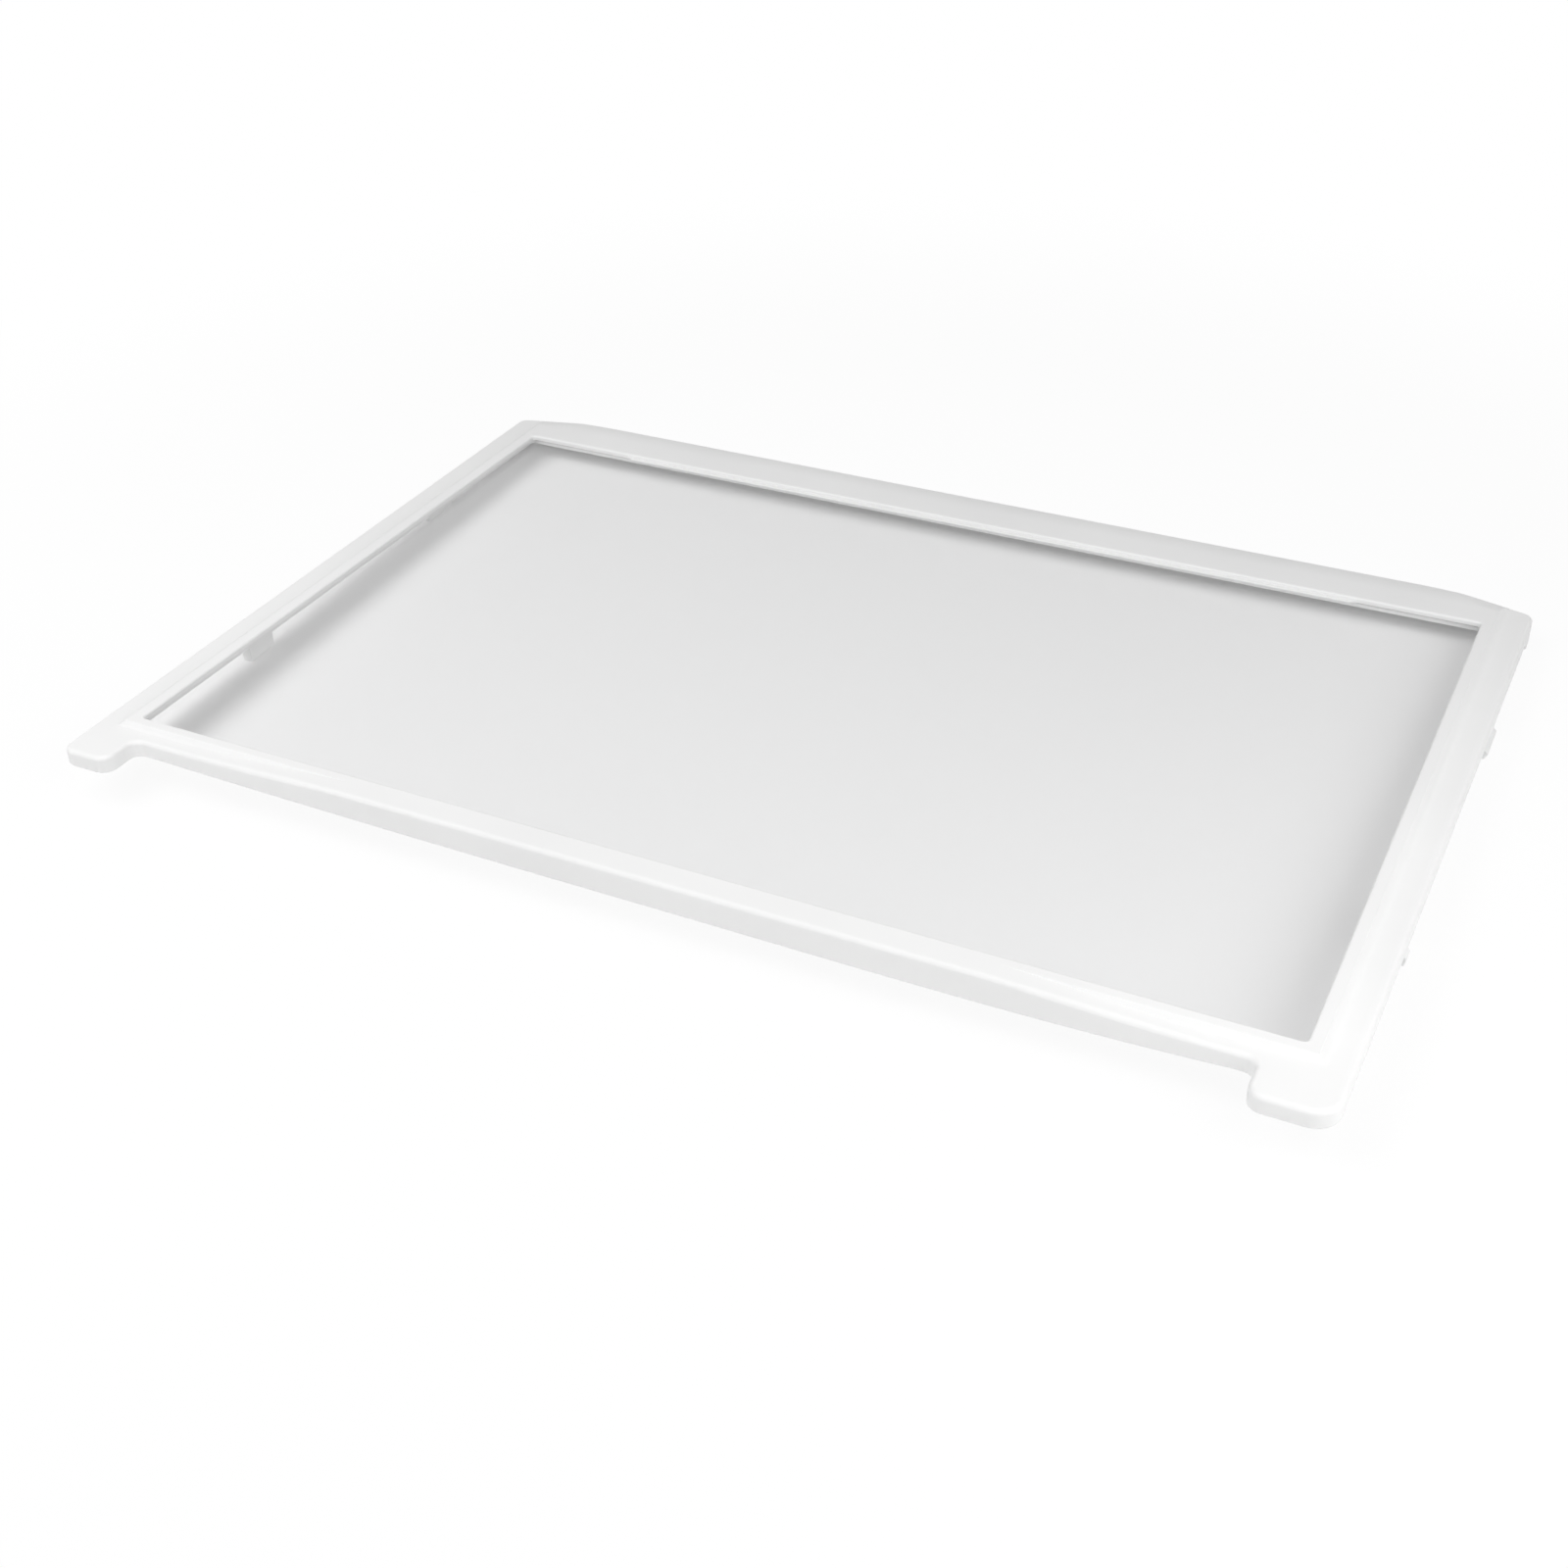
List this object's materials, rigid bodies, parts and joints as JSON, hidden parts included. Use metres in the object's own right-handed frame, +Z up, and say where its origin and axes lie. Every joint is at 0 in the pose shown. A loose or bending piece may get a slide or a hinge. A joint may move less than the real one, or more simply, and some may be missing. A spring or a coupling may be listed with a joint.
{
  "type": "refrigerator shelf",
  "caption": "Flat rectangular refrigerator shelf: a clear glass pane held in a white plastic frame with a rounded nose rail, ears at the opposite edge and hooked lugs under the sides.",
  "frame": {"origin": "middle of the plan, at the level of the longer lugs' feet", "axes": "+X along the nose rail, +Y from the eared edge to the nose rail, +Z up out of the glass"},
  "size_m": [0.4804, 0.3444, 0.0216],
  "materials": {
    "frame_plastic": "satin white injection-moulded plastic",
    "pane_glass": "clear polished tempered glass"
  },
  "bodies": {
    "root": {"shelf_frame": "frame_plastic", "glass_pane": "pane_glass"}
  },
  "joints": []
}
